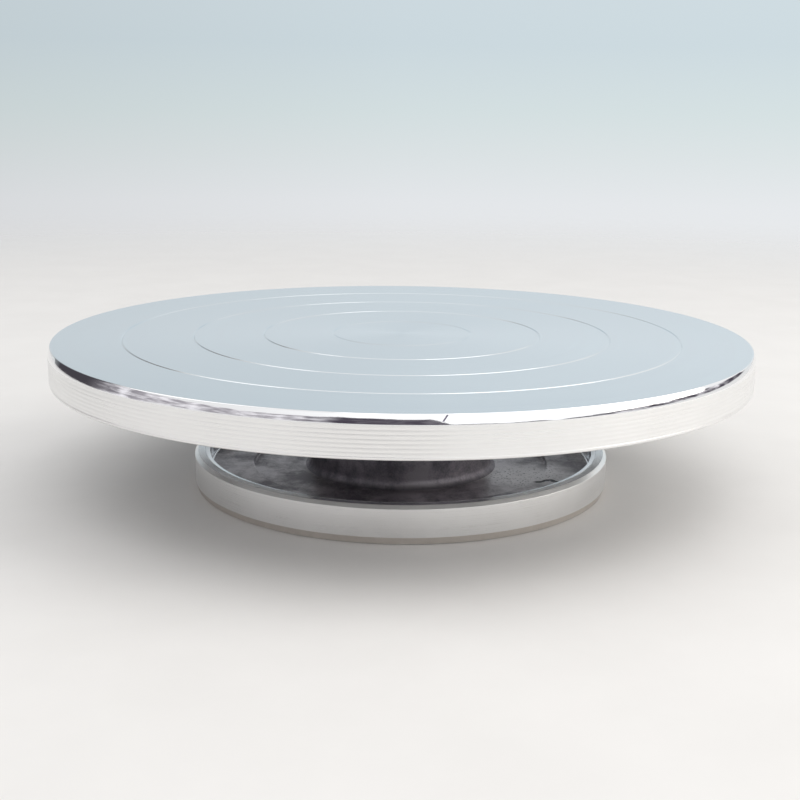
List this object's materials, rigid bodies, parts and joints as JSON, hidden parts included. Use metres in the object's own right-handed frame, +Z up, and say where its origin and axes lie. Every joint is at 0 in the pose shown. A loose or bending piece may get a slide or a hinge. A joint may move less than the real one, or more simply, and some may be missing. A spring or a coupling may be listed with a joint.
{
  "type": "cake turntable",
  "caption": "Hand-spun round turntable: a flat ringed work plate on a ball-bearing spindle in the pedestal of a low dished round base.",
  "frame": {"origin": "on the floor, at the turning axis, below the centre of the base", "axes": "+Z up along the turning axis; X and Y lie in the floor, with one rib of the head on +X at rest"},
  "size_m": [0.3, 0.3, 0.066],
  "materials": {
    "turned_aluminium": "fine-turned satin top, polished edge, machined rim",
    "cast_aluminium": "cast floor and pedestal, machined bright rim",
    "spindle_steel": "turned steel",
    "bearing_steel": "ground and polished bearing steel",
    "shield_steel": "pressed steel sheet",
    "cage_nylon": "moulded natural nylon",
    "spring_steel": "phosphated spring steel",
    "zinc_plate": "zinc-plated sheet steel",
    "screw_steel": "oiled black screws",
    "pad_rubber": "moulded rubber"
  },
  "bodies": {
    "base": {"base_casting": "cast_aluminium", "upper_bearing_outer_ring": "bearing_steel", "upper_bearing_bottom_shield": "shield_steel", "upper_bearing_top_shield": "shield_steel", "lower_bearing_outer_ring": "bearing_steel", "lower_bearing_bottom_shield": "shield_steel", "lower_bearing_top_shield": "shield_steel", "retaining_ring": "spring_steel", "bottom_cover": "zinc_plate", "cover_screw_1": "screw_steel", "cover_screw_2": "screw_steel", "cover_screw_3": "screw_steel", "cover_screw_4": "screw_steel", "foot_pad_1": "pad_rubber", "foot_pad_2": "pad_rubber", "foot_pad_3": "pad_rubber", "foot_pad_4": "pad_rubber"},
    "head": {"wheel_head": "turned_aluminium", "spindle": "spindle_steel", "spindle_screw_1": "screw_steel", "spindle_screw_2": "screw_steel", "spindle_screw_3": "screw_steel", "spindle_screw_4": "screw_steel", "upper_bearing_inner_ring": "bearing_steel", "lower_bearing_inner_ring": "bearing_steel", "spacer_sleeve": "spindle_steel", "lock_washer": "zinc_plate", "lock_nut": "spring_steel"},
    "upper_cage": {"upper_bearing_cage": "cage_nylon", "upper_bearing_ball_1": "bearing_steel", "upper_bearing_ball_2": "bearing_steel", "upper_bearing_ball_3": "bearing_steel", "upper_bearing_ball_4": "bearing_steel", "upper_bearing_ball_5": "bearing_steel", "upper_bearing_ball_6": "bearing_steel", "upper_bearing_ball_7": "bearing_steel", "upper_bearing_ball_8": "bearing_steel"},
    "lower_cage": {"lower_bearing_cage": "cage_nylon", "lower_bearing_ball_1": "bearing_steel", "lower_bearing_ball_2": "bearing_steel", "lower_bearing_ball_3": "bearing_steel", "lower_bearing_ball_4": "bearing_steel", "lower_bearing_ball_5": "bearing_steel", "lower_bearing_ball_6": "bearing_steel", "lower_bearing_ball_7": "bearing_steel", "lower_bearing_ball_8": "bearing_steel"}
  },
  "joints": [
    {"name": "head_spin", "type": "hinge", "parent": "base", "child": "head", "pos_m": [0, 0, 0.038], "axis": [0, 0, 1], "continuous": true},
    {"name": "upper_cage_spin", "type": "hinge", "parent": "base", "child": "upper_cage", "pos_m": [0, 0, 0.038], "axis": [0, 0, 1], "continuous": true},
    {"name": "lower_cage_spin", "type": "hinge", "parent": "base", "child": "lower_cage", "pos_m": [0, 0, 0.018], "axis": [0, 0, 1], "continuous": true}
  ],
  "couplings": [
    {"joint": "upper_cage_spin", "follows": "head_spin", "ratio": 0.3815},
    {"joint": "lower_cage_spin", "follows": "head_spin", "ratio": 0.3815}
  ]
}
